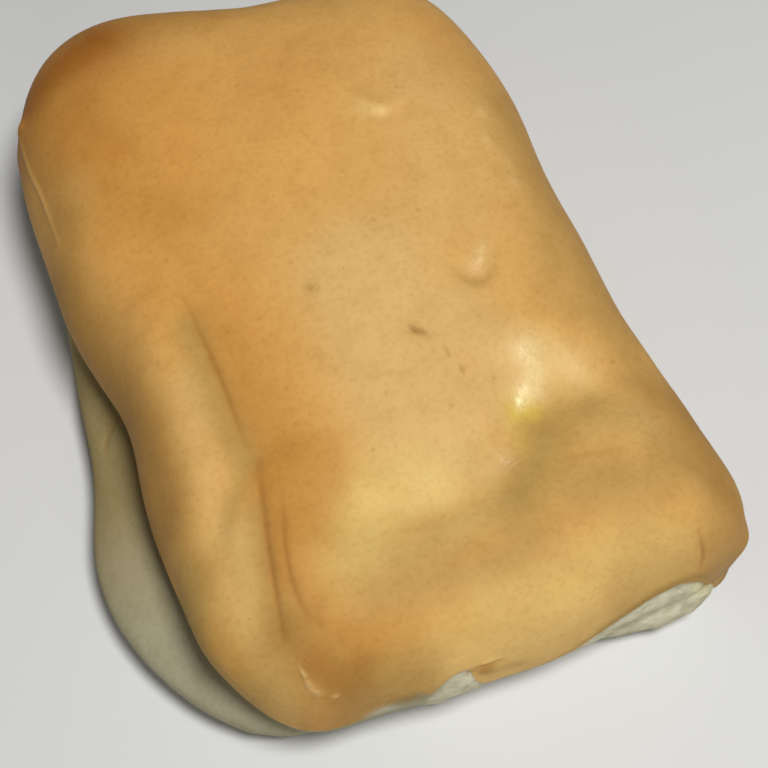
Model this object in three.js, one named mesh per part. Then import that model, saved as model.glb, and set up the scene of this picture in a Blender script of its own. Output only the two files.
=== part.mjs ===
// Coco bread: one sheet of yeast dough folded in half over itself and baked.
// Millimetres, +Z up. The fold is the +X side, the open edge of the two layers faces -X,
// and the front that was pulled away from the next bread faces -Y.
import * as THREE from "three";

// Upper layer seen from above, out to its widest line, the rim
const UPPER_CENTRE = new THREE.Vector2(5, 0);
const UPPER_HALF_WIDTH = 50;
const FRONT_LENGTH = 77;
const BACK_LENGTH = 71.4;
const BACK_SLANT = -0.2;
const CORNER_SQUARENESS = { backFold: 6.5, backOpen: 4.2, frontOpen: 5, frontFold: 10 };
const RIM_SAMPLES = 160;

// Swells of the rim: the side, the middle and half width along it, and how far outward
const RIM_SWELLS = [
  { side: "open", at: -11, width: 14, out: -3 },
  { side: "open", at: 18, width: 12, out: 0.8 },
  { side: "open", at: 50, width: 22, out: 1 },
  { side: "fold", at: -12, width: 33, out: -2.8 },
  { side: "fold", at: -66, width: 12, out: 2 },
  { side: "back", at: 10, width: 8, out: -1.2 },
  { side: "back", at: -15, width: 15, out: 2.2 },
  { side: "front", at: 14, width: 9, out: 0.8 },
  { side: "front", at: -19, width: 9, out: -1.7 },
];

// Heights above the base, by side where they differ
const CROWN_HEIGHT = 46;
const RIM_HEIGHT = { fold: 23, back: 26, open: 21, front: 17 };
const SEAM_HEIGHT = { fold: 15.5, back: 15.5, open: 15.5, front: 9.5 };
const SEAM_GAP = 1.2;
const LOWER_RIM_HEIGHT = { fold: 8.5, back: 8.5, open: 8.5, front: 6 };

// Roundness of the upper layer between its rim and its crown, larger is fuller
const SHOULDER_SQUARENESS = { fold: 3.6, back: 6, open: 4, front: 18 };
const SHOULDER_POWER = { fold: 0.5, back: 0.5, open: 0.5, front: 0.6 };
const RIM_CROWDING = 1.6;

// Falls of the crown: from the middle to the open side, less so at the back of the bread,
// and from the back to the front in a bow
const OPEN_FALL = { drop: 4, from: 2, to: -26, backDrop: 2, backFrom: 5, backTo: 45 };
const LONG_FALL = { openDrop: 2.5, topDrop: 5.5, from: 32, to: -46 };

// Step down from the top to the front shelf: its foot lies further back toward the open side and in a notch
const SHELF_FALL = { drop: 3.6, foot: -51.5, width: 11, power: 1.5, from: -24, to: -4 };
const SHELF_NOTCHES = [
  { depth: 11.5, from: 13, to: 22 },
  { depth: 5, from: 2, to: -16 },
];
const SHELF_RISE = { height: 3, length: 16 };

// Opening between the two layers: closed at 0, fully open at 1, and its depth
const OPENNESS = { fold: 0, back: 0.45, open: 1, front: 1 };
const OPENNESS_FULL = 0.7;
const CREVICE_DEPTH = { fold: 0, back: 4, open: 5, front: 1.5 };
const CREVICE_DEPTH_MORE = 8;

// How far the lower layer stands out past the rim, by side and at its tongue
const LOWER_REACH = { fold: 0, back: -2, open: 0, front: -4 };
const LOWER_TONGUE = { reach: 12.5, at: -29, halfSpan: 58, cornerPower: 0.9 };

// Torn places of the front: middle and half width, reach past the rim and lift of the crust edge
const FRONT_TEARS = [
  { at: 40, width: 14, reach: 5, lift: 3.5 },
  { at: -6, width: 8, reach: 2, lift: 2 },
];

// Rounding of the bottom edge, at the open sides and at the fold, and the border of the flat base
const BASE_INSET = 7;
const FOLD_BASE_INSET = 8;
const BASE_BORDER = 2.5;

// Heights between which the folds and dents of the crust fade in
const TOP_BAND = { from: 19.5, to: 29.5 };

// Roll of dough along the open side: the crease it rises from, the way to its crest, its rise,
// its fade toward the rim, and the shares of the crease between which it has its full height
const ROLL = {
  crease: [
    [-24, 14], [-24, -4], [-24.5, -20], [-24.3, -32],
    [-26.3, -40], [-29, -51], [-31.3, -61], [-30.5, -70],
  ],
  width: 9,
  rise: 3,
  fade: 7,
  fullFrom: 0.3,
  fullTo: 0.85,
};

// Dents of the upper layer: a path on the plan, half its width and its rise
const DENTS = [
  { path: [[-25, -28], [-31, -37], [-37, -46]], width: 3.4, rise: -1.1 },
  { path: [[25, -42], [36, -40]], width: 7, rise: -1.6 },
  { path: [[22, -15], [27, -14]], width: 3.6, rise: -1.3 },
];
const DENT_TAPER_SPAN = 0.6;

// Knobs at the rim: the middle, half the width and the rise
const KNOBS = [
  { at: new THREE.Vector3(55, -73, 19), width: 3, rise: 4 },
  { at: new THREE.Vector3(52, -73, 12), width: 5, rise: 1.6 },
  { at: new THREE.Vector3(-45, 59, 23), width: 4, rise: 1 },
];

// Slow unevenness of the crust: length, direction on the plan and start of each wave
const WAVES = [
  { length: 47, turn: 0.3, start: 0.6 },
  { length: 33, turn: 1.4, start: 2.1 },
  { length: 27, turn: 2.3, start: 4.4 },
];
const WAVE_HEIGHT = 0.22;

// Torn crumb below the crust edge of the front: its zone and its crags
const CRUMB_ZONE = { from: -62, to: -70, edgeBand: 1.5 };
const CRAG_LENGTH = { along: 9, up: 7 };
const CRAG_HEIGHT = 0.8;

// Mesh counts: half the cells across and along the top, then rows down the side
const CELLS_ACROSS = 20;
const CELLS_ALONG = 28;
const CELLS_AROUND = 4 * (CELLS_ACROSS + CELLS_ALONG);
const UPPER_ROWS = 4;
const LOWER_ROWS = 5;
const BASE_ROWS = 4;
const CORNER_SHIFT = 8;
const PATH_SAMPLES = 40;

const CRUST_COLOUR = 0xcf9f5f;
const CRUST_ROUGHNESS = 0.5;

// Straight change from 0 at the first edge to 1 at the second
function share(value, from, to) {
  return THREE.MathUtils.clamp((value - from) / (to - from), 0, 1);
}

// Smooth change from 0 at the first edge to 1 at the second
function ease(value, from, to) {
  const t = share(value, from, to);
  return t * t * (3 - 2 * t);
}

// Smooth hump of height 1 that ends at its half span
function hump(offset, halfSpan) {
  const t = Math.min(Math.abs(offset) / halfSpan, 1);
  return Math.cos(t * Math.PI / 2) ** 2;
}

const bell = (distance, width) => Math.exp(-((distance / width) ** 2));

// Quarter turn after a number of steps
const quarter = (step, steps) => (step / steps) * Math.PI / 2;

// Share of each side in an outward direction on the plan, adding up to 1
function sideShares(normal) {
  return {
    fold: Math.max(normal.x, 0) ** 2,
    open: Math.min(normal.x, 0) ** 2,
    back: Math.max(normal.y, 0) ** 2,
    front: Math.min(normal.y, 0) ** 2,
  };
}

function mixSides(shares, values) {
  return Object.keys(shares).reduce((sum, side) => sum + shares[side] * values[side], 0);
}

// Plain rim of the upper layer at a share of a turn from the middle of the fold
function plainRimPoint(turn) {
  const cosine = Math.cos(turn * 2 * Math.PI);
  const sine = Math.sin(turn * 2 * Math.PI);
  const end = sine >= 0 ? "back" : "front";
  const side = cosine >= 0 ? "Fold" : "Open";
  const power = 2 / CORNER_SQUARENESS[end + side];
  const x = Math.sign(cosine) * Math.abs(cosine) ** power * UPPER_HALF_WIDTH;
  const length = sine >= 0 ? BACK_LENGTH : FRONT_LENGTH;
  const y = Math.sign(sine) * Math.abs(sine) ** power * length;
  const slant = BACK_SLANT * x * ease(y, 0, BACK_LENGTH);
  return new THREE.Vector3(UPPER_CENTRE.x + x, UPPER_CENTRE.y + y + slant, 0);
}

const rimTurns = Array.from({ length: RIM_SAMPLES }, (_, i) => i / RIM_SAMPLES);
const rimCurve = new THREE.CatmullRomCurve3(rimTurns.map(plainRimPoint), true);
rimCurve.arcLengthDivisions = 4 * RIM_SAMPLES;

// Reach or lift of the torn places together, at a place along the front
function tearSum(x, trait) {
  return FRONT_TEARS.reduce((sum, tear) => sum + tear[trait] * bell(x - tear.at, tear.width), 0);
}

// Rim at a share of the way round, with the sizes of the body that belong to it
function rimAt(fraction) {
  const place = rimCurve.getPointAt(fraction);
  const tangent = rimCurve.getTangentAt(fraction);
  const normal = new THREE.Vector2(tangent.y, -tangent.x);
  const shares = sideShares(normal);
  const point = new THREE.Vector2(place.x, place.y);
  for (const swell of RIM_SWELLS) {
    const along = swell.side === "fold" || swell.side === "open" ? place.y : place.x;
    point.addScaledVector(normal, swell.out * shares[swell.side] * bell(along - swell.at, swell.width));
  }
  const tongueHump = hump(point.y - LOWER_TONGUE.at, LOWER_TONGUE.halfSpan);
  const tongue = shares.open ** LOWER_TONGUE.cornerPower * tongueHump;
  const tears = Math.sqrt(shares.front) * tearSum(point.x, "reach");
  return {
    point,
    normal,
    height: mixSides(shares, RIM_HEIGHT),
    seam: mixSides(shares, SEAM_HEIGHT) + shares.front * tearSum(point.x, "lift"),
    lowerRim: mixSides(shares, LOWER_RIM_HEIGHT),
    squareness: mixSides(shares, SHOULDER_SQUARENESS),
    shoulderPower: mixSides(shares, SHOULDER_POWER),
    openness: ease(mixSides(shares, OPENNESS), 0, OPENNESS_FULL),
    crevice: mixSides(shares, CREVICE_DEPTH) + CREVICE_DEPTH_MORE * tongue,
    reach: mixSides(shares, LOWER_REACH) + LOWER_TONGUE.reach * tongue + tears,
  };
}

// Height of the upper layer away from its rim
function crownHeight(x, y) {
  const onTop = ease(x, SHELF_FALL.from, SHELF_FALL.to);
  const atBack = ease(y, OPEN_FALL.backFrom, OPEN_FALL.backTo);
  const openDrop = THREE.MathUtils.lerp(OPEN_FALL.drop, OPEN_FALL.backDrop, atBack);
  const openFall = openDrop * ease(x, OPEN_FALL.from, OPEN_FALL.to);
  const longDrop = THREE.MathUtils.lerp(LONG_FALL.openDrop, LONG_FALL.topDrop, onTop);
  const longFall = longDrop * share(y, LONG_FALL.from, LONG_FALL.to) ** 2;
  const notchDepths = SHELF_NOTCHES.map((notch) => notch.depth * ease(x, notch.from, notch.to));
  const foot = notchDepths.reduce((sum, depth) => sum + depth, SHELF_FALL.foot);
  const shelfFall = SHELF_FALL.drop * share(y, foot + SHELF_FALL.width, foot) ** SHELF_FALL.power;
  const shelfRise = SHELF_RISE.height * (1 - share(y, foot - SHELF_RISE.length, foot) ** 2);
  return CROWN_HEIGHT - openFall - longFall - onTop * (shelfFall - shelfRise);
}

// Top of the upper layer at a share of the way from its middle to its rim
function topPoint(fraction, spread) {
  const rim = rimAt(fraction);
  const plan = UPPER_CENTRE.clone().lerp(rim.point, spread);
  const shoulder = Math.max(1 - spread ** rim.squareness, 0) ** rim.shoulderPower;
  const height = THREE.MathUtils.lerp(rim.height, crownHeight(plan.x, plan.y), shoulder);
  return new THREE.Vector3(plan.x, plan.y, height);
}

// Rows below the rim down to the base, each a distance in from the rim and a height
function sideRows(rim) {
  const rows = [];
  const seamTop = rim.seam + SEAM_GAP / 2;
  const seamBottom = rim.seam - SEAM_GAP / 2;
  for (let i = 1; i <= UPPER_ROWS; i++) {
    const angle = quarter(i, UPPER_ROWS);
    const inset = rim.crevice * (1 - Math.cos(angle));
    rows.push([inset, THREE.MathUtils.lerp(rim.height, seamTop, Math.sin(angle))]);
  }
  for (let i = 0; i <= LOWER_ROWS; i++) {
    const angle = quarter(i, LOWER_ROWS);
    const inset = rim.crevice - (rim.crevice + rim.reach) * Math.sin(angle);
    rows.push([inset, THREE.MathUtils.lerp(rim.lowerRim, seamBottom, Math.cos(angle))]);
  }
  for (let i = 1; i <= BASE_ROWS; i++) {
    const angle = quarter(i, BASE_ROWS);
    const inset = BASE_INSET * (1 - Math.cos(angle)) - rim.reach;
    rows.push([inset, rim.lowerRim * (1 - Math.sin(angle))]);
  }
  return rows.map(([inset, height], i) => {
    const angle = quarter(i + 1, rows.length);
    const closedInset = FOLD_BASE_INSET * (1 - Math.cos(angle));
    const closedHeight = rim.height * (1 - Math.sin(angle));
    return [
      THREE.MathUtils.lerp(closedInset, inset, rim.openness),
      THREE.MathUtils.lerp(closedHeight, height, rim.openness),
    ];
  });
}

// Share of the way round the rim that lies outward of a corner of a top cell
function ringFraction(i, j, spread) {
  const across = i / spread;
  const along = j / spread;
  const nearly = 1e-6;
  let steps = 3 * (CELLS_ALONG + CELLS_ACROSS) + across;
  if (Math.abs(across - CELLS_ACROSS) < nearly) {
    steps = along;
  } else if (Math.abs(along - CELLS_ALONG) < nearly) {
    steps = CELLS_ALONG + CELLS_ACROSS - across;
  } else if (Math.abs(across + CELLS_ACROSS) < nearly) {
    steps = 2 * (CELLS_ALONG + CELLS_ACROSS) - along;
  }
  return ((steps + CORNER_SHIFT + CELLS_AROUND) % CELLS_AROUND) / CELLS_AROUND;
}

// Plain body without folds and dents
function buildBody() {
  const points = [];
  const faces = [];
  const addPoint = (point) => points.push(point) - 1;

  function addQuad(a, b, c, d) {
    const firstDiagonal = points[a].distanceToSquared(points[c]);
    const secondDiagonal = points[b].distanceToSquared(points[d]);
    faces.push(...(firstDiagonal <= secondDiagonal ? [a, b, c, a, c, d] : [a, b, d, b, c, d]));
  }

  // Top of the upper layer, a grid of cells whose border is the rim
  const top = [];
  const rimIndices = [];
  for (let j = -CELLS_ALONG; j <= CELLS_ALONG; j++) {
    const row = [];
    for (let i = -CELLS_ACROSS; i <= CELLS_ACROSS; i++) {
      const spread = Math.max(Math.abs(i) / CELLS_ACROSS, Math.abs(j) / CELLS_ALONG);
      const fraction = spread > 0 ? ringFraction(i, j, spread) : 0;
      const index = addPoint(topPoint(fraction, 1 - (1 - spread) ** RIM_CROWDING));
      row.push(index);
      if (spread === 1) {
        rimIndices[Math.round(fraction * CELLS_AROUND)] = index;
      }
    }
    top.push(row);
  }
  for (let j = 0; j < 2 * CELLS_ALONG; j++) {
    for (let i = 0; i < 2 * CELLS_ACROSS; i++) {
      addQuad(top[j][i], top[j][i + 1], top[j + 1][i + 1], top[j + 1][i]);
    }
  }

  // Side, ring by ring from the rim to the border of the base
  const rims = rimIndices.map((_, k) => rimAt(k / CELLS_AROUND));
  const profiles = rims.map((rim) => {
    const rows = sideRows(rim);
    const [lastInset] = rows[rows.length - 1];
    return [...rows, [lastInset + BASE_BORDER, 0]];
  });
  let above = rimIndices;
  for (let row = 0; row < profiles[0].length; row++) {
    const below = rims.map((rim, k) => {
      const [inset, height] = profiles[k][row];
      const plan = rim.point.clone().addScaledVector(rim.normal, -inset);
      return addPoint(new THREE.Vector3(plan.x, plan.y, height));
    });
    for (let k = 0; k < CELLS_AROUND; k++) {
      const next = (k + 1) % CELLS_AROUND;
      addQuad(below[k], below[next], above[next], above[k]);
    }
    above = below;
  }

  // Flat base
  const baseOutline = above.map((index) => new THREE.Vector2(points[index].x, points[index].y));
  for (const [a, b, c] of THREE.ShapeUtils.triangulateShape(baseOutline, [])) {
    faces.push(above[a], above[c], above[b]);
  }

  const body = new THREE.BufferGeometry().setFromPoints(points);
  body.setIndex(faces);
  body.computeVertexNormals();
  return body;
}

// Smooth curve through the corners of a path on the plan
function planCurve(path) {
  return new THREE.CatmullRomCurve3(path.map(([x, y]) => new THREE.Vector3(x, y, 0)));
}

const creaseCurve = planCurve(ROLL.crease);
const creasePlaces = creaseCurve.getSpacedPoints(PATH_SAMPLES);
const dentPlaces = DENTS.map((dent) => planCurve(dent.path).getSpacedPoints(PATH_SAMPLES));

// Distance to the nearest of the places along a path, and the share of the path where it lies
function nearestOnPath(places, flat) {
  const distances = places.map((place) => place.distanceTo(flat));
  const distance = Math.min(...distances);
  return { distance, along: distances.indexOf(distance) / PATH_SAMPLES };
}

// Height of the roll at a place on the plan: from its crease to its crest, then fading toward the rim
function rollHeight(flat) {
  const { along } = nearestOnPath(creasePlaces, flat);
  const tangent = creaseCurve.getTangentAt(along);
  const offset = flat.clone().sub(creaseCurve.getPointAt(along));
  const fromCrease = tangent.y * offset.x - tangent.x * offset.y;
  const pastCrest = Math.max(fromCrease - ROLL.width, 0);
  const ends = ease(along, 0, ROLL.fullFrom) * ease(along, 1, ROLL.fullTo);
  return ROLL.rise * ease(fromCrease, 0, ROLL.width) * bell(pastCrest, ROLL.fade) * ends;
}

// Height of a dent at a place on the plan, weaker toward both ends of its path
function dentHeight(dent, places, flat) {
  const { distance, along } = nearestOnPath(places, flat);
  return dent.rise * bell(distance, dent.width) * Math.sqrt(hump(along - 0.5, DENT_TAPER_SPAN));
}

// Share of torn crumb at a place: 1 on the torn front, 0 on the crust and on the base
function crumbShare(point) {
  const edge = SEAM_HEIGHT.front + tearSum(point.x, "lift");
  const belowEdge = ease(point.z, edge, edge - CRUMB_ZONE.edgeBand);
  return belowEdge * ease(point.z, 0, CRUMB_ZONE.edgeBand) * ease(point.y, CRUMB_ZONE.from, CRUMB_ZONE.to);
}

// Uneven crags, between -1 and 1
function crag(point) {
  const along = point.x / CRAG_LENGTH.along * 2 * Math.PI;
  const up = point.z / CRAG_LENGTH.up * 2 * Math.PI;
  return Math.sin(along + Math.sin(up)) * Math.cos(up - along / 2);
}

// Distance the crust stands out from the plain body, below it where negative
function relief(point) {
  const onTop = ease(point.z, TOP_BAND.from, TOP_BAND.to);
  const flat = new THREE.Vector3(point.x, point.y, 0);
  let out = rollHeight(flat) * onTop;
  DENTS.forEach((dent, i) => {
    out += dentHeight(dent, dentPlaces[i], flat) * onTop;
  });
  for (const knob of KNOBS) {
    out += knob.rise * bell(point.distanceTo(knob.at), knob.width);
  }
  for (const wave of WAVES) {
    const along = point.x * Math.cos(wave.turn) + point.y * Math.sin(wave.turn);
    out += WAVE_HEIGHT * Math.sin(along / wave.length * 2 * Math.PI + wave.start) * onTop;
  }
  return out + CRAG_HEIGHT * crumbShare(point) * crag(point);
}

// Finished solid, standing on its base over the origin
function shapeBread() {
  const body = buildBody();
  const position = body.getAttribute("position");
  const normal = body.getAttribute("normal");
  for (let i = 0; i < position.count; i++) {
    const point = new THREE.Vector3().fromBufferAttribute(position, i);
    const outward = new THREE.Vector3().fromBufferAttribute(normal, i);
    point.addScaledVector(outward, relief(point));
    position.setXYZ(i, point.x, point.y, point.z);
  }
  body.computeVertexNormals();
  body.computeBoundingBox();
  const middle = body.boundingBox.getCenter(new THREE.Vector3());
  body.translate(-middle.x, -middle.y, -body.boundingBox.min.z);
  return body;
}

const crust = new THREE.MeshStandardMaterial({
  color: CRUST_COLOUR,
  roughness: CRUST_ROUGHNESS,
  metalness: 0,
});
const bread = new THREE.Mesh(shapeBread(), crust);
bread.name = "coco_bread";

const part = new THREE.Group();
part.add(bread);
export default part;
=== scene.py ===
# Coco bread: the finished surface and materials of the folded bread, a plain floor, light and camera.
# Places and sizes on the bread are in millimetres in the part's frame: +Z up, the fold at +X, the
# torn front at -Y.
import math

import bmesh
import bpy
import numpy as np
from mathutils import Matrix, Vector, noise
from mathutils.bvhtree import BVHTree


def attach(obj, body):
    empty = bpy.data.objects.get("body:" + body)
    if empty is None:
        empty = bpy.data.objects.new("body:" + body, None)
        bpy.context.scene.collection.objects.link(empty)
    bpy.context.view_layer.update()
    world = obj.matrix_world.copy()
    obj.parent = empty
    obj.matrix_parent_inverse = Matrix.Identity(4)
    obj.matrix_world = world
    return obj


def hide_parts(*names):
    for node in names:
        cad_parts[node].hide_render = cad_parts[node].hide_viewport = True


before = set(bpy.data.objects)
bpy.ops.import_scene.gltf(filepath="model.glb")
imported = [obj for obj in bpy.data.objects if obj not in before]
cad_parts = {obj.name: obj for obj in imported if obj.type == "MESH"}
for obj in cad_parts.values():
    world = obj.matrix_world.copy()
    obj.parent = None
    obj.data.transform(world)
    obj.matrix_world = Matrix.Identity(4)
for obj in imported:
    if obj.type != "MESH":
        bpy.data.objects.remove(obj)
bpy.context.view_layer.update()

MM = 0.001
NODE = "coco_bread"

# Camera of the photograph: where it looks, its angles in degrees, its distance and its lens
CAMERA_TARGET = Vector((6.6, -17.53, 20))
CAMERA_AZIMUTH = -23
CAMERA_ELEVATION = 62
CAMERA_DISTANCE = 285
SENSOR_WIDTH = 36
LENS = 70.3
CLIP_START = 10

# Lights: the direction to each, its distance and size in metres, and its power in watts
LIGHTS = {
    "key": {"toward": (0.12, -0.28, 0.95), "distance": 0.7, "size": 0.2, "power": 4.2},
    "fill": {"toward": (-0.02, -0.9, 0.42), "distance": 2.2, "size": 1.3, "power": 5.9},
    "side": {"toward": (-0.92, -0.2, 0.3), "distance": 2.2, "size": 1.75, "power": 5.8},
}

# Faint light from all around
WORLD_COLOUR = (1, 1, 1, 1)
WORLD_STRENGTH = 0.05

# Floor: half its side and how far it lies under the base, in metres, its colour and its roughness
FLOOR_HALF_SIZE = 2
FLOOR_DROP = 0.0001
FLOOR_COLOUR = (214, 214, 212)
FLOOR_ROUGHNESS = 0.8

# Mesh of the bread: welding distance, how far down the normal of a face of the flat base points,
# rounding levels, how close to fine lines, thin lines and the torn edge the faces are split once more,
# and how many points of a path come to half a width
WELD_DISTANCE = 0.01
BASE_NORMAL = -0.999
SMOOTH_LEVELS = 2
FINE_WIDTH, FINE_REACH = 1.5, 1.4
THIN_WIDTH, THIN_REACH = 0.55, 0.9
EDGE_REACH = 1.1
STEPS_PER_WIDTH = 4

# Named colours of the dough as they look in plain white light, save for painted light: the tan, olive,
# lip and beige shades are painted shade, the glint is a painted highlight, and in places butter, cream
# and wheat serve as painted highlights and bronze as painted shade
COLOURS = {
    "golden": (211, 163, 92),
    "straw": (214, 175, 112),
    "honey": (210, 152, 77),
    "amber": (189, 134, 62),
    "rust": (202, 139, 64),
    "brown": (158, 98, 36),
    "bronze_and_shade": (172, 130, 67),
    "shade_tan": (186, 145, 81),
    "shade_olive": (177, 143, 78),
    "lip_shade": (150, 117, 54),
    "flap": (164, 118, 54),
    "sand": (203, 167, 100),
    "wheat": (217, 184, 112),
    "cream": (233, 196, 121),
    "butter_and_highlight": (234, 206, 144),
    "yolk": (214, 188, 70),
    "painted_glint": (255, 240, 175),
    "crease": (150, 98, 40),
    "mark": (150, 110, 54),
    "flake": (220, 190, 130),
    "ash": (164, 158, 131),
    "moss": (150, 134, 92),
    "shade_beige": (165, 135, 90),
    "crumb": (213, 207, 180),
    "crumb_shade": (188, 182, 152),
    "lemon": (214, 202, 134),
}

# Browning of the crust, with painted shade and painted highlights among it as marked: zones with a path
# on the plan, half a width, the colour and its share, each laid over the ones before; a higher power
# gives a crisper border
PLAIN_COLOUR = "golden"
ZONES = [
    {"path": [(-20, 52), (-14, 42), (-16, 30), (-20, 22)], "width": 11, "colour": "honey", "share": 1},
    {"path": [(10, 46), (4, 34), (-2, 24)], "width": 14, "colour": "honey", "share": 0.4},
    {"path": [(-32, 20), (-29, 8), (-24, 0)], "width": 8, "colour": "honey", "share": 0.7},
    # Back of the left flank: browner crust, darker in part as painted shade
    {"path": [(-43, 54), (-39, 42), (-39, 30)], "width": 5, "colour": "bronze_and_shade", "share": 0.7},
    {"path": [(-34, 44), (-27, 37), (-28, 28), (-22, 22)], "width": 6.5,
     "colour": "amber", "share": 0.75},
    {"path": [(-30, 50), (-26, 38)], "width": 6, "colour": "rust", "share": 0.7},
    {"path": [(20, 40), (36, 28)], "width": 12, "colour": "honey", "share": 0.2},
    {"path": [(-36, 62), (-30, 63), (-20, 66)], "width": 9.5, "colour": "brown", "share": 0.95},
    {"path": [(-36, 54), (-30, 54)], "width": 6, "colour": "amber", "share": 1},
    {"path": [(-10, 68), (2, 62)], "width": 6, "colour": "amber", "share": 0.5},
    {"path": [(34, 30), (32, 12), (26, 0)], "width": 12, "colour": "straw", "share": 0.45},
    {"path": [(43, 44), (46, 32)], "width": 6, "colour": "honey", "share": 0.4},
    # Fold side along the right border, and a hollow near it, darker as painted shade
    {"path": [(49, 22), (48.5, 0), (48, -20), (47, -40), (51, -52), (50, -72)], "width": 6,
     "colour": "shade_tan", "share": 0.95},
    {"path": [(42, -12), (38, -21), (40, -26)], "width": 4.5, "colour": "shade_tan", "share": 0.6},
    {"path": [(7, -8), (5, -24), (5, -38)], "width": 13, "power": 4, "colour": "straw", "share": 0.8},
    {"path": [(-20, 4), (-17, -10), (-17, -24)], "width": 8, "colour": "honey", "share": 0.85},
    {"path": [(-21, -6), (-20, -14), (-22, -24)], "width": 5, "colour": "amber", "share": 0.65},
    {"path": [(-19, -35), (-15, -39), (-18, -44)], "width": 8, "power": 3,
     "colour": "amber", "share": 0.95},
    {"path": [(-12, -55), (-7, -47), (2, -47)], "width": 7, "colour": "wheat", "share": 0.95},
    {"path": [(-6, -59), (4, -56), (12, -55), (11, -47)], "width": 4.5, "colour": "sand", "share": 0.8},
    {"path": [(-22, -44), (-24, -54), (-24, -60)], "width": 3, "colour": "amber", "share": 0.5},
    {"path": [(-20, -67), (-12, -68)], "width": 5, "colour": "amber", "share": 0.5},
    {"path": [(-33, -66), (-32, -70)], "width": 4, "colour": "sand", "share": 0.7},
    # Left flank of the rolled edge: browner crust and painted shade, its lower end all painted shade
    {"path": [(-44, 22), (-42, 4), (-40, -18), (-42, -34)], "width": 6,
     "colour": "bronze_and_shade", "share": 0.95},
    {"path": [(-42, -46), (-43, -56), (-40, -66)], "width": 6, "colour": "shade_olive", "share": 0.9},
    # Shaded right flank of the rolled edge beside the upper crease: painted shade
    {"path": [(-25, -3), (-26, -14), (-25.4, -31)], "width": 3.2, "colour": "shade_olive", "share": 0.75},
    {"path": [(-29.5, -14), (-31, -26), (-33, -40)], "width": 3.5, "colour": "straw", "share": 0.4},
    {"path": [(-31, -44), (-33, -52), (-35, -60)], "width": 4, "colour": "sand", "share": 0.85},
    # Shaded right flank of the rolled edge beside the lower crease: painted shade
    {"path": [(-26.5, -40), (-28.5, -48), (-30.5, -56), (-31.5, -62)], "width": 1.8,
     "colour": "shade_olive", "share": 0.6},
    {"path": [(-40, -57), (-38, -62)], "width": 2.5, "colour": "amber", "share": 0.4},
    {"path": [(-29, -62), (-25, -67), (-22, -71)], "width": 5, "colour": "bronze_and_shade", "share": 0.95},
    {"path": [(-31, -74), (-24, -76)], "width": 3.5, "colour": "amber", "share": 0.5},
    # Shaded underside of the crust at the front left: painted shade
    {"path": [(-22, -73), (-15, -74), (-9, -75)], "width": 4, "colour": "shade_olive", "share": 0.6},
    # Front shelf and the fold side at the front, darker as painted shade
    {"path": [(44, -58), (37, -61), (26, -58)], "width": 7.5, "colour": "shade_tan", "share": 0.95},
    {"path": [(51, -48), (52, -60), (51, -72)], "width": 5, "colour": "bronze_and_shade", "share": 0.8},
    {"path": [(14, -64), (2, -65), (-14, -63)], "width": 5.5, "colour": "shade_tan", "share": 0.8},
    {"path": [(20, -20), (22, -29), (20, -40)], "width": 6, "colour": "straw", "share": 0.8},
    {"path": [(34, -48), (40, -50)], "width": 5, "colour": "sand", "share": 0.6},
    # Trough in front of the dent: painted shade
    {"path": [(16, -55), (21, -51), (24, -47)], "width": 4.5, "colour": "shade_olive", "share": 0.95},
    {"path": [(23.5, -44), (28, -44), (35, -44)], "width": 3.2, "colour": "shade_olive", "share": 0.65},
    # Wall of the dent: paler buttered crust, partly a painted highlight
    {"path": [(28, -31), (32, -34), (35, -36.5)], "width": 4.5, "colour": "butter_and_highlight", "share": 0.45},
    {"path": [(29, -39.5), (35, -40.5)], "width": 2.4, "colour": "sand", "share": 0.7},
    # Core of the dent's wall: paler buttered crust, partly a painted highlight
    {"path": [(28, -32), (28, -35), (26, -37.5), (24, -38.5)], "width": 2.3,
     "colour": "butter_and_highlight", "share": 0.85},
    {"path": [(22, -39), (21, -42), (20, -46)], "width": 2, "colour": "yolk", "share": 0.15},
    {"path": [(22, -40.5), (24.5, -41.5)], "width": 1.8, "colour": "yolk", "share": 0.6},
    {"path": [(4, -70), (14, -71), (24, -71), (32, -70)], "width": 4, "colour": "sand", "share": 0.8},
    {"path": [(-28, -68), (-24, -71), (-20, -71)], "width": 2.4, "colour": "brown", "share": 0.45},
    {"path": [(-24, -64), (-20, -67), (-16, -68)], "width": 3, "colour": "amber", "share": 0.4},
    {"path": [(-22.5, -35), (-25, -45), (-27, -54)], "width": 1.6, "colour": "amber", "share": 0.6},
    {"path": [(-4, -75), (8, -76), (20, -76)], "width": 4.5, "colour": "cream", "share": 0.65},
    {"path": [(28, -74), (38, -74)], "width": 4.5, "colour": "sand", "share": 0.8},
    # Shaded front right corner: painted shade
    {"path": [(46, -74), (49, -75)], "width": 4.5, "colour": "shade_tan", "share": 0.8},
]

# Shine of the crust: zones of the same kind, of which the strongest counts at each place
SHINE = [
    {"path": [(-4, -47), (6, -46), (14, -47)], "width": 5, "share": 0.12},
    {"path": [(28, -32), (28, -35), (26, -37.5), (23.5, -39)], "width": 2.4, "share": 0.75},
    {"path": [(28, -31), (33, -35)], "width": 4, "share": 0.2},
    {"path": [(16.5, -47), (17.5, -50.5)], "width": 2, "share": 0.5},
    {"path": [(20.5, 26.5), (24, 23)], "width": 2.5, "share": 0.25},
    {"path": [(27, -12.5), (29.5, -9.5)], "width": 2, "share": 0.4},
]

# Ways to find a place of two numbers on the surface: the axes that it gives, and a look from far off
SIGHTS = {
    "top": {"axes": (0, 1), "start": (0, 0, 200), "toward": (0, 0, -1)},
    "front": {"axes": (0, 2), "start": (0, -200, 0), "toward": (0, 1, 0)},
    "left": {"axes": (1, 2), "start": (-200, 0, 0), "toward": (1, 0, 0)},
}

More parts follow.
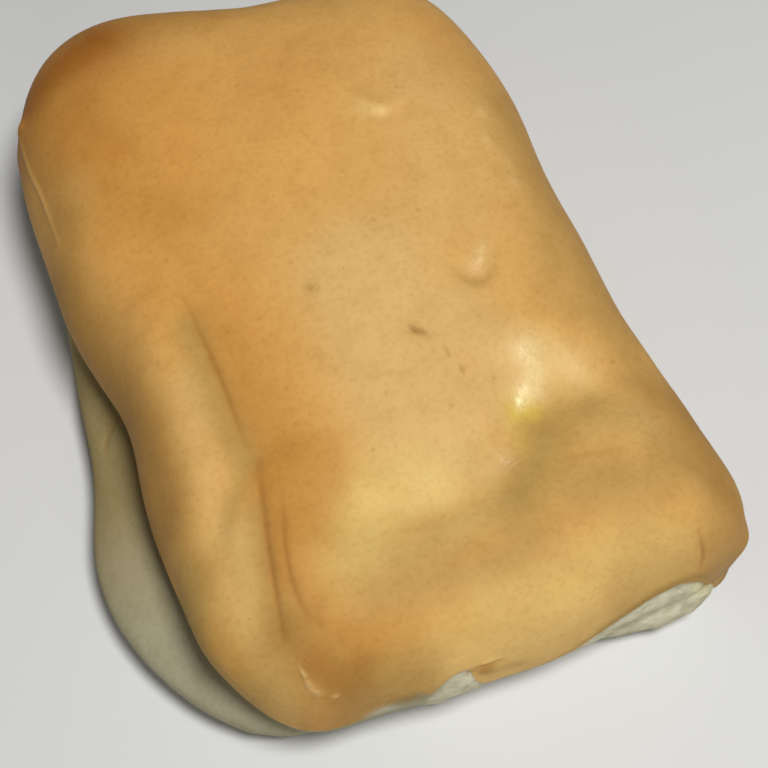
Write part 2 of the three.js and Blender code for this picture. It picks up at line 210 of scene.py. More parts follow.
# Fine lines: a path seen from the top unless another sight is named, half a width, the rise, half the
# width of its colour where that differs, the colour and its share; a power of 1 makes a sharp crease,
# a ragged line is broken by rags, and a line on the crumb colours that in place of the crust
LINES = [
    # Creases beside the rolled edge, their dark stain partly browner crust and partly painted shade
    {"path": [(-24, 2), (-23.5, -14), (-24, -28.5)], "width": 1, "power": 1, "rise": -0.5,
     "stain": 0.6, "colour": "crease", "share": 0.7},
    {"path": [(-23.5, -32.5), (-26, -42.5), (-28.5, -53), (-30.5, -62.5)], "width": 1.3, "power": 1,
     "rise": -0.9, "stain": 0.8, "colour": "crease", "share": 0.75},
    {"path": [(-21.5, -39.5), (-24, -47), (-25.5, -54), (-25.5, -60), (-24, -63)], "width": 0.7,
     "power": 1, "rise": -0.3, "stain": 0.6, "colour": "crease", "share": 0.7},
    # Shaded soft fold under the upper lobe of the rolled edge: painted shade
    {"path": [(-25.5, -31.5), (-30, -37), (-34, -42.5)], "width": 1.8, "rise": -0.7,
     "colour": "shade_olive", "share": 0.6},
    # Dimple with painted shade in its hollow and a painted highlight on its wall, painted highlights on
    # the low step at the back, scuffs, painted glints in the dent and fine wrinkles of the top
    {"path": [(22, -11), (24, -14), (26.5, -15.5), (28.5, -14.5), (30.5, -12.5)], "width": 1.4,
     "rise": -0.5, "colour": "shade_olive", "share": 0.5},
    {"path": [(27, -12.5), (29.5, -9.5)], "width": 1.1, "rise": 0.2, "ragged": 0.8,
     "colour": "butter_and_highlight", "share": 0.4},
    # Lit side of the low step at the back: painted highlight
    {"path": [(19.5, 28), (21.5, 25.5), (24, 24.5)], "width": 1.8, "rise": 0.1,
     "colour": "wheat", "share": 0.5},
    {"path": [(23, 24.5), (25, 23.5)], "width": 0.9, "rise": 0.05, "colour": "cream", "share": 0.5},
    {"path": [(10.5, -19.5), (11, -21), (12, -22), (12.5, -23)], "width": 0.8, "rise": -0.3,
     "ragged": 0.6, "colour": "mark", "share": 0.85},
    {"path": [(14.5, -26), (14.5, -28)], "width": 0.35, "rise": -0.12, "colour": "mark", "share": 0.35},
    {"path": [(15.5, -30), (15.5, -32)], "width": 0.4, "rise": -0.15, "colour": "mark", "share": 0.35},
    {"path": [(-3.5, -5.5), (-2.5, -7)], "width": 0.8, "rise": -0.2, "colour": "mark", "share": 0.5},
    # Glints on the dent's wall: painted highlights
    {"path": [(23.5, -38.5), (23, -39.5)], "width": 0.6, "rise": 0.1, "colour": "painted_glint", "share": 0.85},
    {"path": [(25.5, -37), (24.5, -38)], "width": 0.7, "rise": 0.15, "ragged": 0.5,
     "colour": "painted_glint", "share": 0.6},
    {"path": [(25, -52.5), (30, -53), (35, -54.5)], "width": 0.7, "rise": -0.15,
     "colour": "amber", "share": 0.3},
    {"path": [(6.5, 60.5), (5, 53), (3, 42.5)], "width": 3, "rise": -0.5,
     "colour": "golden", "share": 0},
    # Ridge along the open side at the back, its pale line a painted highlight on the ridge, and the
    # knob at its end
    {"path": [(61.5, 27), (55.5, 29), (47.5, 31), (40, 32.5), (28, 32.5)], "seen": "left", "width": 0.6,
     "rise": 0.3, "colour": "straw", "share": 0.4},
    {"path": [(61.5, 29), (59, 29.5)], "seen": "left", "width": 2.2, "rise": 0.9,
     "colour": "honey", "share": 0.3},
    # Groove of the lower layer on the open side
    {"path": [(-1, 14), (-4, 12.5), (-7, 12)], "seen": "left", "width": 0.6, "rise": -0.3,
     "colour": "mark", "share": 0.4},
    # Flakes of broken crust at the front corner
    {"path": [(-29.5, 34.5), (-29, 33), (-29, 32)], "seen": "front", "width": 0.4, "rise": 0.2,
     "ragged": 1.5, "colour": "flake", "share": 0.6},
    {"path": [(-29, 32), (-28.5, 31), (-28, 30)], "seen": "front", "width": 0.8, "rise": 0.35,
     "ragged": 1.2, "colour": "flake", "share": 0.7},
    {"path": [(-26, 29.5), (-25, 29)], "seen": "front", "width": 0.5, "rise": 0.2,
     "ragged": 1.5, "colour": "flake", "share": 0.65},
    # Wrinkle and lips of the crust over the torn front, with painted shade under the lips
    {"path": [(42, 34.5), (42.5, 29), (42, 25)], "seen": "front", "width": 0.5, "rise": -0.25,
     "colour": "brown", "share": 0.5},
    {"path": [(12, 13), (21, 18), (30, 23.5), (35, 25), (39, 24.5), (43, 22), (48, 13)],
     "seen": "front", "width": 1.3, "rise": 0.2, "colour": "lip_shade", "share": 0.65},
    {"path": [(3, 20.5), (9, 18)], "seen": "front", "width": 1.6, "rise": 0,
     "colour": "shade_olive", "share": 0.6},
    {"path": [(-1, 22.5), (0.5, 21.5), (2, 20)], "seen": "front", "width": 1.5, "rise": 0.15,
     "colour": "flap", "share": 0.85},
    {"path": [(-1.5, 23.5), (1.5, 23.5), (3.5, 23.5)], "seen": "front", "width": 0.6, "rise": -0.35,
     "colour": "brown", "share": 0.55},
    {"path": [(-0.5, 24.5), (3, 24.5)], "seen": "front", "width": 0.7, "rise": 0.25,
     "colour": "cream", "share": 0.4},
    # Shaded underside of the crust at the front left: painted shade
    {"path": [(-16.5, 20), (-14, 19.5), (-10.5, 20)], "seen": "front", "width": 2.2, "rise": 0,
     "colour": "lip_shade", "share": 0.75},
    {"path": [(-20, 17), (-17.5, 17), (-15, 16.5)], "seen": "front", "width": 1.6, "rise": 0,
     "colour": "crumb", "share": 0.65},
    # Shaded corner of the fold beside the crumb: painted shade
    {"path": [(46, 21), (49, 15), (51, 9), (51, 5)], "seen": "front", "width": 3.6, "rise": 0,
     "colour": "shade_beige", "share": 0.85},
    # Marks on the torn crumb
    {"path": [(-2.5, 22.5), (-2, 22)], "seen": "front", "on": "crumb", "width": 1, "rise": -0.6,
     "colour": "mark", "share": 0.7},
    {"path": [(43, 18), (45, 15), (46.5, 11)], "seen": "front", "on": "crumb", "width": 2.6,
     "rise": 0.2, "colour": "lemon", "share": 0.8},
    {"path": [(33.5, 10.5), (36, 12.5), (40, 12)], "seen": "front", "on": "crumb", "width": 0.5,
     "rise": -0.15, "colour": "mark", "share": 0.35},
]

# Pale streaks of the top along the fold, painted highlights on small wrinkles, and tiny dark specks:
# where each begins, its look as a line, and its length
HIGHLIGHT_STREAKS = [(42.5, 20), (40.5, 14), (43, 9), (42, 4)]
HIGHLIGHT_STREAK = {"width": 1.2, "rise": 0.1, "colour": "butter_and_highlight", "share": 0.2}
HIGHLIGHT_STREAK_LENGTH = 2.5
SPECKS = [(21, 1), (29.5, 11), (20, -34.5), (43, -37), (29.5, -48.5), (11, -36.5), (-4.5, -38.5),
          (12.5, 2), (-17.5, 5.5), (-13.5, -7.5), (-4.5, 0), (-14, -22), (-15, -29), (-33, -7.5),
          (0.5, 40.5), (10.5, 34.5), (28.5, 28.5), (1.5, -30)]
SPECK = {"width": 0.4, "rise": -0.1, "colour": "crease", "share": 0.38}
SPECK_LENGTH = 0.4
LINES += [{"path": [(px, py), (px, py - HIGHLIGHT_STREAK_LENGTH)], **HIGHLIGHT_STREAK} for px, py in HIGHLIGHT_STREAKS]
LINES += [{"path": [(px, py), (px + SPECK_LENGTH, py)], **SPECK} for px, py in SPECKS]

# Low steps of the crust: the foot, with the raised side on its left, the rise and how far it fades
STEPS = [
    {"path": [(18, 30.5), (20, 25.5), (23.5, 23), (27, 23.5)], "width": 1.6, "rise": 0.9, "fade": 5},
]

# Rags of broken lines: their size, and the most that they multiply a rise by
RAG_SIZE = 1.6
RAG_MOST = 1.3

# How far zones and lines are followed, in half widths, and steps, in fades; the distance of places past
# that; and the share of a line at each end where it weakens no further
ZONE_REACH = 4
LINE_REACH = 5
STEP_REACH = 3
FAR_OFF = 1e3
TAPER_END = 0.06

# Edge of the crust over the torn front: places from left to right as (x, height), the spacing of the
# points along it, the stretch where the front begins, and how far over and under the edge counts
CRUST_EDGE = [(-34, 13), (-27, 14), (-22, 15.5), (-19, 18), (-15, 20), (-11, 20.5), (-9.5, 19),
              (-6, 23), (-4, 24), (-2.5, 24), (-1, 18), (1, 13), (5, 10.5), (17, 11), (21.5, 16.5),
              (26.5, 19.5), (30, 21.5), (34, 23), (38, 23), (42.5, 20), (47.5, 11.5), (50, 5),
              (52, -3)]
EDGE_SPACING = 0.5
FRONT_FROM, FRONT_TO = -66, -70
ABOVE_REACH = 4

# Torn crumb: its ends, the slant of the left one with the height that it is given at, how ragged and
# soft that end is, and how far the skin of the lower layer overlaps it
CRUMB_LEFT_END, CRUMB_RIGHT_END = -9, 47.5
CRUMB_END_SLANT = 0.35
CRUMB_END_HEIGHT = 18
CRUMB_END_RAG = 1.5
CRUMB_END_SOFT = 1.5
SKIN_OVERLAP = 2

# Rags of the edge of the crust: how far they go, their size and detail, and how soft the edge is over
# the crumb and over the skin
EDGE_RAG = 1.6
EDGE_RAG_SIZE = 1.6
EDGE_RAG_DETAIL = 4
EDGE_SOFT = 0.4
SKIN_SOFT = 1.4

# Lower layer: its top on the open side and at the back, the stretch where it ends toward the fold, and
# the stretch where its colour turns paler to the front
SEAM_HEIGHT = 15.5
SEAM_SOFT = 0.5
LOWER_FROM_X, LOWER_TO_X = 42, 25
MOSS_Y, ASH_Y = -10, -50

# Unevenness of the crust and of the torn crumb: the size and height of the lumps, and for the crumb the
# octaves of its noise, how deep it is sunk at the edge, and how far it swells below
CRUST_LUMPS = {"size": 14, "height": 0.12}
CRUMB_LUMPS = {"size": 4, "octaves": 4, "height": 0.32, "sunk": 0.3, "swell": 0.6}

# Hollows of the crumb and of the corner beside it, filled and then softened: the rounds of each, how
# many rounds keep the same normals, the least share that moves a point, the heights between which it
# sets in, and the corner's places as (x, height) with half its width and its reach
FILL_ROUNDS = 700
SOFTEN_ROUNDS = 10
ROUNDS_PER_TURN = 100
LEAST_SHARE = 0.01
MELT_FROM, MELT_TO = 1, 4
CORNER = [(46, 14), (48, 13), (50, 13), (52, 13)]
CORNER_WIDTH = 3.5
CORNER_REACH = 14

# Heights between which the relief sets in over the flat base
BASE_FADE_FROM, BASE_FADE_TO = 0.3, 2

# Mottling of the crust: the size of the spots, their detail, where they begin and end in the noise, and
# their share
MOTTLES = [
    {"size": 5, "detail": 5, "begin": 0.38, "end": 0.72, "share": 0.35},
    {"size": 1.1, "detail": 4, "begin": 0.43, "end": 0.72, "share": 0.4},
]
MOTTLE_SHADE = (0.83, 0.775, 0.67, 1)

# Pores of the crust: how far apart, their radius as a share of that, the size of their patches, where
# those begin and end in the noise, and their share
PORES = {"apart": 3.2, "radius": 0.1, "patch": 9, "begin": 0.5, "end": 0.6, "share": 0.6}
PORE_SHADE = (0.62, 0.48, 0.34, 1)

# Clouds and pores of the crumb, given the same way
CRUMB_CLOUDS = {"size": 3, "detail": 6, "begin": 0.36, "end": 0.68}
CRUMB_PORES = {"apart": 1.5, "radius": 0.32, "patch": 4, "begin": 0.45, "end": 0.6, "share": 0.45}
CRUMB_PORE_SHADE = (0.76, 0.72, 0.62, 1)

# Finish: roughness and specular level of the crust, with what full gloss, crumb and the lower layer add
ROUGHNESS = {"crust": 0.55, "gloss": -0.22, "crumb": 0.35}
SPECULAR = {"crust": 0.05, "gloss": 0.65, "lower": -0.03}

# Grain: the sizes and details of its fine and coarse noise, what full gloss and crumb add to its
# strength, and the strength and height of its bumps
GRAIN = {"fine": 0.6, "fine_detail": 4, "coarse": 2.4, "coarse_detail": 2, "gloss": 2.5, "crumb": 3}
BUMP_STRENGTH = 0.35
BUMP_HEIGHT = 0.15


# Smooth change from 0 at the first edge to 1 at the second
def ease(value, start, end):
    t = np.clip((value - start) / (end - start), 0, 1)
    return t * t * (3 - 2 * t)


# Share of 1 on a line, falling off over about half a width
def falloff(distance, width, power=2):
    return np.exp(-((distance / width) ** power))


# Linear red, green, blue and alpha of a colour of the screen, by the usual curve of screens
def linear(colour):
    shares = np.array(colour) / 255
    light = np.where(shares <= 0.04045, shares / 12.92, ((shares + 0.055) / 1.055) ** 2.4)
    return np.append(light, 1)


def add_object(name, data):
    made = bpy.data.objects.new(name, data)
    bpy.context.scene.collection.objects.link(made)
    return made


# Copy of the solid's mesh in quads, rounded by subdivision
def rounded_copy(source):
    rough_mesh = source.data.copy()
    form = bmesh.new()
    form.from_mesh(rough_mesh)
    bmesh.ops.remove_doubles(form, verts=form.verts, dist=WELD_DISTANCE * MM)
    base = [f for f in form.faces
            if f.normal.z < BASE_NORMAL and f.calc_center_median().z < WELD_DISTANCE * MM]
    bmesh.ops.dissolve_faces(form, faces=base)
    triangles = [f for f in form.faces if len(f.verts) == 3]
    bmesh.ops.join_triangles(
        form, faces=triangles, angle_face_threshold=math.pi, angle_shape_threshold=math.pi)
    form.to_mesh(rough_mesh)
    form.free()
    rough = add_object("rough", rough_mesh)
    smooth = rough.modifiers.new("smooth", "SUBSURF")
    smooth.levels = SMOOTH_LEVELS
    smooth.render_levels = SMOOTH_LEVELS
    evaluated = rough.evaluated_get(bpy.context.evaluated_depsgraph_get())
    finished = bpy.data.meshes.new_from_object(evaluated)
    bpy.data.objects.remove(rough)
    bpy.data.meshes.remove(rough_mesh)
    finished.name = "bread"
    finished.materials.clear()
    return finished


def mesh_points(mesh):
    flat = np.empty(len(mesh.vertices) * 3)
    mesh.vertices.foreach_get("co", flat)
    return flat.reshape(-1, 3) / MM


def move_points(mesh, points):
    mesh.vertices.foreach_set("co", (points * MM).ravel())
    mesh.update()


def mesh_normals(mesh):
    flat = np.empty(len(mesh.vertices) * 3)
    mesh.vertex_normals.foreach_get("vector", flat)
    return flat.reshape(-1, 3)


# Points of a smooth curve through the corners of a path, close together for lines of a width
def smooth_path(corners, width):
    corners = np.array(corners, float)
    ends = np.vstack([2 * corners[0] - corners[1], corners, 2 * corners[-1] - corners[-2]])
    made = []
    for before, start, end, after in zip(ends, ends[1:], ends[2:], ends[3:]):
        count = math.ceil(np.linalg.norm(end - start) * STEPS_PER_WIDTH / width)
        for t in np.linspace(0, 1, count, endpoint=False):
            made.append(0.5 * (2 * start + (end - before) * t
                               + (2 * before - 5 * start + 4 * end - after) * t ** 2
                               + (3 * start - before - 3 * end + after) * t ** 3))
    return np.vstack([made, corners[-1]])


# Places of two numbers found on the surface, as seen from one side
def found_on(surface, places, seen):
    sight = SIGHTS[seen]
    found = []
    for place in places:
        start = Vector(sight["start"])
        for axis, value in zip(sight["axes"], place):
            start[axis] = value
        found.append(surface.ray_cast(start, Vector(sight["toward"]))[0])
    return np.array(found)


# Smooth path of a line on the surface
def line_path(surface, line):
    return found_on(surface, smooth_path(line["path"], line["width"]), line.get("seen", "top"))


# Distance of each place to a path, and the number of the nearest point of the path
def path_distance(places, path, reach):
    distance = np.full(len(places), FAR_OFF)
    nearest = np.zeros(len(places), int)
    near = np.all((places > path.min(0) - reach) & (places < path.max(0) + reach), axis=1)
    gaps = np.linalg.norm(places[near][:, None] - path[None], axis=2)
    distance[near] = gaps.min(1)
    nearest[near] = gaps.argmin(1)
    return distance, nearest


# Weakening of a line toward both ends
def taper(nearest, path):
    along = np.clip(nearest / (len(path) - 1), TAPER_END, 1 - TAPER_END)
    return np.sqrt(np.sin(np.pi * along))


# Fractal noise at each place, about -1 to 1, with lumps of a size
def lumps(places, size, octaves=3, increment=1.0, lacunarity=2.0):
    return np.array([noise.fractal(Vector(p), increment, lacunarity, octaves) for p in places / size])


# Faces within a reach of the given paths split once more
def refine(mesh, paths, reach):
    points = mesh_points(mesh)
    close = np.zeros(len(points), bool)
    for path in paths:
        close |= path_distance(points, path, reach)[0] < reach
    form = bmesh.new()
    form.from_mesh(mesh)
    edges = [e for e in form.edges if all(close[v.index] for v in e.verts)]
    bmesh.ops.subdivide_edges(form, edges=edges, cuts=1, use_grid_fill=True)
    form.to_mesh(mesh)
    form.free()


# Points drawn out toward the middle of their neighbours by a share, so that hollows fill, then softened
def melt(mesh, points, share):
    ends = np.empty(len(mesh.edges) * 2, np.int32)
    mesh.edges.foreach_get("vertices", ends)
    ends = ends.reshape(-1, 2)
    ends = ends[(share[ends] > LEAST_SHARE).any(axis=1)]
    first, second = ends.T
    total = len(points)
    counts = np.maximum(np.bincount(ends.ravel(), minlength=total), 1)
    share = np.where(share > LEAST_SHARE, share, 0)
    for turn in range(FILL_ROUNDS + SOFTEN_ROUNDS):
        if turn % ROUNDS_PER_TURN == 0:
            move_points(mesh, points)
            normals = mesh_normals(mesh)
        outward = np.zeros(total)
        for axis in range(3):
            values = points[:, axis]
            sums = np.bincount(first, values[second], total) + np.bincount(second, values[first], total)
            outward += (sums / counts - values) * normals[:, axis]
        if turn < FILL_ROUNDS:
            outward = np.maximum(outward, 0)
        points += (share * outward)[:, None] * normals
    move_points(mesh, points)


# Height over the edge of the crust on the front, at most a reach, and the distance from the left end
# of the torn crumb
def torn_front(points):
    x, y, z = points.T
    edge_x, edge_z = np.array(CRUST_EDGE).T
    above = np.clip(z - np.interp(x, edge_x, edge_z), -ABOVE_REACH, ABOVE_REACH)
    above = ABOVE_REACH + (above - ABOVE_REACH) * ease(y, FRONT_FROM, FRONT_TO)
    across = x - CRUMB_LEFT_END - CRUMB_END_SLANT * (z - CRUMB_END_HEIGHT)
    return above, across + CRUMB_END_RAG * lumps(points, EDGE_RAG_SIZE)


# Share of the lower layer: below the seam on the open side and at the back, and the skin left of the
# torn crumb
def lower_share(points, above, across):
    x, y, z = points.T
    front = ease(y, FRONT_FROM, FRONT_TO)
    below = ease(z, SEAM_HEIGHT + SEAM_SOFT, SEAM_HEIGHT - SEAM_SOFT)
    skin = ease(across, SKIN_OVERLAP + CRUMB_END_SOFT, SKIN_OVERLAP - CRUMB_END_SOFT)
    lower = below * ease(x, LOWER_FROM_X, LOWER_TO_X) * (1 - front * (1 - skin))
    return np.maximum(lower, ease(above, SKIN_SOFT, -SKIN_SOFT) * skin)


# Colour laid over a paint by a share at each point
def lay_over(paint, colour, share):
    paint += np.reshape(share, (-1, 1)) * (colour - paint)


def zone_share(points, zone):
    path = smooth_path(zone["path"], zone["width"])
    distance, _ = path_distance(points[:, :2], path, ZONE_REACH * zone["width"])
    return zone["share"] * falloff(distance, zone["width"], zone.get("power", 2))


# Colours of the crust and of the crumb at each point, before the fine lines
def base_paints(points, lower):
    crust = np.tile(linear(COLOURS[PLAIN_COLOUR]), (len(points), 1))
    for zone in ZONES:
        lay_over(crust, linear(COLOURS[zone["colour"]]), zone_share(points, zone))
    paler = ease(points[:, 1], MOSS_Y, ASH_Y)[:, None]
    lay_over(crust, linear(COLOURS["moss"]) * (1 - paler) + linear(COLOURS["ash"]) * paler, lower)
    crumb = np.tile(linear(COLOURS["crumb"]), (len(points), 1))
    return {"crust": crust, "crumb": crumb}


# Rise of the fine lines, with their colours laid over the paints
def draw_lines(points, paths, paints):
    rise = np.zeros(len(points))
    rag = lumps(points, RAG_SIZE)
    for line, path in zip(LINES, paths):
        power = line.get("power", 2)
        broken = 1 + line.get("ragged", 0) * rag
        distance, nearest = path_distance(points, path, LINE_REACH * line["width"])
        ends = taper(nearest, path)
        height = line["rise"] * falloff(distance, line["width"], power)
        rise += height * ends * np.clip(broken, 0, RAG_MOST)
        stain = falloff(distance, line.get("stain", line["width"]), power) * ends
        stain *= np.clip(broken, 0, 1)
        colour = linear(COLOURS[line["colour"]])
        lay_over(paints[line.get("on", "crust")], colour, line["share"] * stain)
    return rise


# Rise of a low step on the left side of its path
def step_rise(points, step, path):
    distance, nearest = path_distance(points, path, STEP_REACH * step["fade"])
    along = np.gradient(path, axis=0)[nearest]
    offsets = points - path[nearest]
    side = along[:, 0] * offsets[:, 1] - along[:, 1] * offsets[:, 0]
    side /= np.linalg.norm(along[:, :2], axis=1)
    height = step["rise"] * ease(side, 0, step["width"])
    return height * falloff(distance, step["fade"]) * taper(nearest, path)


# Bread: the rounded solid with its creases, flakes, torn crumb and the colours of its crust
def make_bread():
    mesh = rounded_copy(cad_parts[NODE])
    faces = [tuple(p.vertices) for p in mesh.polygons]
    surface = BVHTree.FromPolygons(mesh_points(mesh).tolist(), faces)
    line_paths = [line_path(surface, line) for line in LINES]
    step_paths = [line_path(surface, step) for step in STEPS]
    edge_x, edge_z = np.array(CRUST_EDGE).T
    places_x = np.arange(CRUMB_LEFT_END, CRUMB_RIGHT_END, EDGE_SPACING)
    edge_places = np.transpose([places_x, np.interp(places_x, edge_x, edge_z)])
    edge_path = found_on(surface, edge_places, "front")
    fine = [path for line, path in zip(LINES, line_paths) if line["width"] < FINE_WIDTH]
    thin = [path for line, path in zip(LINES, line_paths) if line["width"] < THIN_WIDTH]
    refine(mesh, fine, FINE_REACH)
    refine(mesh, [edge_path], EDGE_REACH)
    refine(mesh, thin, THIN_REACH)

    points = mesh_points(mesh)
    above, across = torn_front(points)
    torn = ease(across, -CRUMB_END_SOFT, CRUMB_END_SOFT)
    crumb = torn * ease(above, EDGE_SOFT, -EDGE_SOFT)
    distance, _ = path_distance(points, found_on(surface, CORNER, "front"), CORNER_REACH)
    melting = np.maximum(crumb, falloff(distance, CORNER_WIDTH))
    melt(mesh, points, melting * ease(points[:, 2], MELT_FROM, MELT_TO))
    lower = lower_share(points, above, across)
    paints = base_paints(points, lower)
    gloss = np.max([zone_share(points, zone) for zone in SHINE], axis=0) * (1 - lower)

    relief = CRUST_LUMPS["height"] * lumps(points, CRUST_LUMPS["size"])
    relief += draw_lines(points, line_paths, paints)
    for step, path in zip(STEPS, step_paths):
        relief += step_rise(points, step, path)
    crumb_lumps = lumps(points, CRUMB_LUMPS["size"], CRUMB_LUMPS["octaves"])
    relief += crumb * (CRUMB_LUMPS["height"] * crumb_lumps - CRUMB_LUMPS["sunk"])
    relief += crumb * CRUMB_LUMPS["swell"] * ease(above, -EDGE_SOFT, -ABOVE_REACH)
    relief *= ease(points[:, 2], BASE_FADE_FROM, BASE_FADE_TO)
    move_points(mesh, points + mesh_normals(mesh) * relief[:, None])
    mesh.polygons.foreach_set("use_smooth", np.ones(len(mesh.polygons), bool))

    for name, values in {"crust_paint": paints["crust"], "crumb_paint": paints["crumb"]}.items():
        layer = mesh.attributes.new(name, "FLOAT_COLOR", "POINT")
        layer.data.foreach_set("color", values.astype(np.float32).ravel())
    for name, values in {"gloss": gloss, "lower": lower, "above": above, "torn": torn}.items():
        mesh.attributes.new(name, "FLOAT", "POINT").data.foreach_set("value", values.astype(np.float32))
    mesh.materials.append(bread_material())
    return add_object("bread", mesh)


# Builder of one material's node tree
class NodeTree:
    def __init__(self, name):
        self.material = bpy.data.materials.new(name)
        self.material.use_nodes = True
        self.tree = self.material.node_tree
        self.shader = self.tree.nodes["Principled BSDF"]
        self.place = self.add("ShaderNodeTexCoord").outputs["Object"]

    def add(self, kind, **settings):
        node = self.tree.nodes.new(kind)
        for key, value in settings.items():
            setattr(node, key, value)
        return node

    def put(self, value, socket):
        if isinstance(value, bpy.types.NodeSocket):
            self.tree.links.new(value, socket)
        else:
            socket.default_value = value

    def attribute(self, name, output="Fac"):
        return self.add("ShaderNodeAttribute", attribute_name=name).outputs[output]

    # Noise with lumps of a size in millimetres
    def noise(self, size, detail=3):
        node = self.add("ShaderNodeTexNoise")
        self.put(self.place, node.inputs["Vector"])
        self.put(1 / (size * MM), node.inputs["Scale"])
        self.put(detail, node.inputs["Detail"])
        return node.outputs["Fac"]

    # Patches of noise: 1 where it is past their end, 0 before they begin
    def patches(self, kind):
        return self.fade(self.noise(kind["size"], kind["detail"]), kind["begin"], kind["end"])

    # Round pores in patches, spread about as far apart as a distance in millimetres: 1 in their middles
    def pores(self, kind):
        node = self.add("ShaderNodeTexVoronoi")
        self.put(self.place, node.inputs["Vector"])
        self.put(1 / (kind["apart"] * MM), node.inputs["Scale"])
        spots = self.fade(node.outputs["Distance"], kind["radius"], 0)
        patches = self.fade(self.noise(kind["patch"]), kind["begin"], kind["end"])
        return self.math("MULTIPLY", spots, patches)

    def math(self, operation, *values):
        node = self.add("ShaderNodeMath", operation=operation)
        for value, socket in zip(values, node.inputs):
            self.put(value, socket)
        return node.outputs["Value"]

    # Smooth change from 0 at the first value to 1 at the second
    def fade(self, value, start, end):
        node = self.add("ShaderNodeMapRange", interpolation_type="SMOOTHSTEP")
        self.put(value, node.inputs["Value"])
        self.put(start, node.inputs["From Min"])
        self.put(end, node.inputs["From Max"])
        return node.outputs["Result"]

    def mix(self, share, first, second, blend="MIX"):
        node = self.add("ShaderNodeMix", data_type="RGBA", blend_type=blend)
        self.put(share, node.inputs["Factor"])
        for value, socket in zip((first, second), [s for s in node.inputs if s.type == "RGBA"]):
            self.put(value, socket)
        return [s for s in node.outputs if s.type == "RGBA"][0]

    # Colour darkened by a shade where a mask is, by a share
    def darken(self, colour, mask, share, shade):
        return self.mix(self.math("MULTIPLY", mask, share), colour, shade, "MULTIPLY")


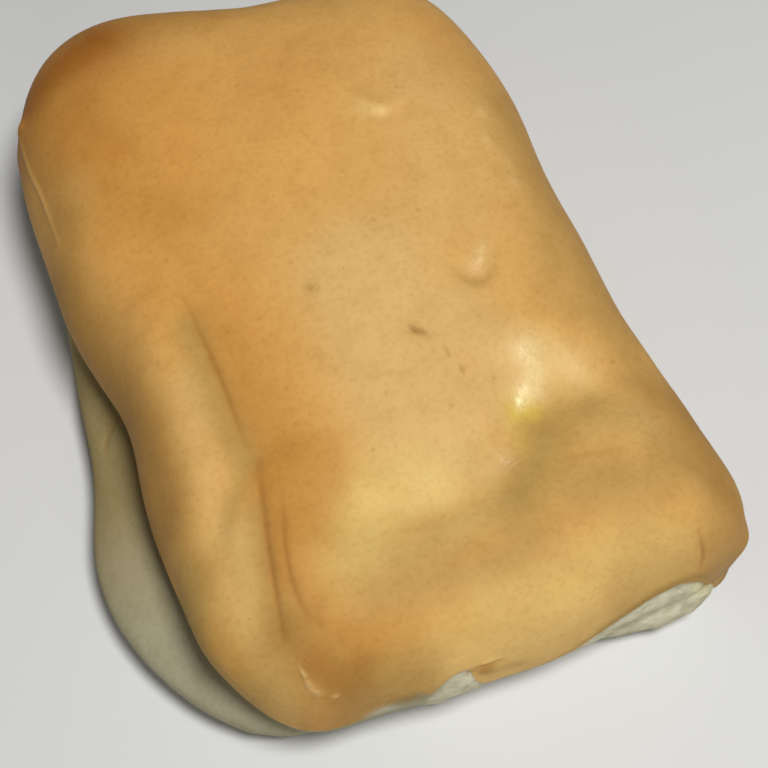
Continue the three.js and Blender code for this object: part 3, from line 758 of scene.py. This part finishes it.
def bread_material():
    looks = NodeTree("crust")
    lower = looks.attribute("lower")
    gloss = looks.attribute("gloss")

    # Torn crumb under the ragged edge of the crust
    rags = looks.noise(EDGE_RAG_SIZE, EDGE_RAG_DETAIL)
    ragged = looks.math("MULTIPLY_ADD", rags, EDGE_RAG, looks.attribute("above"))
    torn = looks.fade(ragged, EDGE_RAG / 2 + EDGE_SOFT, EDGE_RAG / 2 - EDGE_SOFT)
    crumb = looks.math("MULTIPLY", torn, looks.attribute("torn"))

    # Mottled browning, freckles and pores over the colour of the crust
    crust_colour = looks.attribute("crust_paint", "Color")
    for mottle in MOTTLES:
        crust_colour = looks.darken(crust_colour, looks.patches(mottle), mottle["share"], MOTTLE_SHADE)
    pores = looks.pores(PORES)
    crust_colour = looks.darken(crust_colour, pores, PORES["share"], PORE_SHADE)

    # Clouds and small holes in the colour of the crumb
    shade = tuple(linear(COLOURS["crumb_shade"]))
    clouds = looks.patches(CRUMB_CLOUDS)
    crumb_colour = looks.mix(clouds, looks.attribute("crumb_paint", "Color"), shade)
    holes = looks.pores(CRUMB_PORES)
    crumb_colour = looks.darken(crumb_colour, holes, CRUMB_PORES["share"], CRUMB_PORE_SHADE)
    looks.put(looks.mix(crumb, crust_colour, crumb_colour), looks.shader.inputs["Base Color"])

    rough = looks.math("MULTIPLY_ADD", gloss, ROUGHNESS["gloss"], ROUGHNESS["crust"])
    rough = looks.math("MULTIPLY_ADD", crumb, ROUGHNESS["crumb"], rough)
    looks.put(rough, looks.shader.inputs["Roughness"])
    shiny = looks.math("MULTIPLY_ADD", gloss, SPECULAR["gloss"], SPECULAR["crust"])
    shiny = looks.math("MULTIPLY_ADD", lower, SPECULAR["lower"], shiny)
    looks.put(shiny, looks.shader.inputs["Specular IOR Level"])

    # Fine grain, stronger on the gloss and on the crumb, with the pores sunk in it
    fine = looks.noise(GRAIN["fine"], GRAIN["fine_detail"])
    grain = looks.math("ADD", fine, looks.noise(GRAIN["coarse"], GRAIN["coarse_detail"]))
    strength = looks.math("MULTIPLY_ADD", gloss, GRAIN["gloss"], 1)
    strength = looks.math("MULTIPLY_ADD", crumb, GRAIN["crumb"], strength)
    grain = looks.math("MULTIPLY", grain, strength)
    grain = looks.math("SUBTRACT", grain, pores)
    grain = looks.math("SUBTRACT", grain, looks.math("MULTIPLY", holes, crumb))
    bump = looks.add("ShaderNodeBump")
    looks.put(BUMP_STRENGTH, bump.inputs["Strength"])
    looks.put(BUMP_HEIGHT * MM, bump.inputs["Distance"])
    looks.put(grain, bump.inputs["Height"])
    looks.put(bump.outputs["Normal"], looks.shader.inputs["Normal"])
    return looks.material


def make_floor():
    mesh = bpy.data.meshes.new("floor")
    half = FLOOR_HALF_SIZE
    corners = [(sx * half, sy * half, -FLOOR_DROP) for sx, sy in ((-1, -1), (1, -1), (1, 1), (-1, 1))]
    mesh.from_pydata(corners, [], [(0, 1, 2, 3)])
    looks = NodeTree("floor")
    looks.put(tuple(linear(FLOOR_COLOUR)), looks.shader.inputs["Base Color"])
    looks.put(FLOOR_ROUGHNESS, looks.shader.inputs["Roughness"])
    mesh.materials.append(looks.material)
    return add_object("floor", mesh)


def make_light(name, light):
    data = bpy.data.lights.new(name, "AREA")
    data.shape = "DISK"
    data.size = light["size"]
    data.energy = light["power"]
    lamp = add_object(name, data)
    toward = Vector(light["toward"]).normalized()
    lamp.location = toward * light["distance"]
    lamp.rotation_mode = "QUATERNION"
    lamp.rotation_quaternion = (-toward).to_track_quat("-Z", "Y")


def make_world():
    world = bpy.data.worlds.new("world")
    world.use_nodes = True
    background = world.node_tree.nodes["Background"]
    background.inputs["Color"].default_value = WORLD_COLOUR
    background.inputs["Strength"].default_value = WORLD_STRENGTH
    return world


# Camera that looks at its target from the angles of the photograph
def make_camera():
    azimuth = math.radians(CAMERA_AZIMUTH)
    elevation = math.radians(CAMERA_ELEVATION)
    back = Vector((
        math.sin(azimuth) * math.cos(elevation),
        -math.cos(azimuth) * math.cos(elevation),
        math.sin(elevation),
    ))
    data = bpy.data.cameras.new("camera")
    data.sensor_width = SENSOR_WIDTH
    data.lens = LENS
    data.clip_start = CLIP_START * MM
    camera = add_object("camera", data)
    camera.location = (CAMERA_TARGET + back * CAMERA_DISTANCE) * MM
    camera.rotation_mode = "QUATERNION"
    camera.rotation_quaternion = (-back).to_track_quat("-Z", "Y")
    return camera


bread = make_bread()
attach(bread, "root")
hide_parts(NODE)

make_floor()
for light_name, light in LIGHTS.items():
    make_light(light_name, light)
bpy.context.scene.world = make_world()
bpy.context.scene.view_settings.view_transform = "Standard"
bpy.context.scene.camera = make_camera()
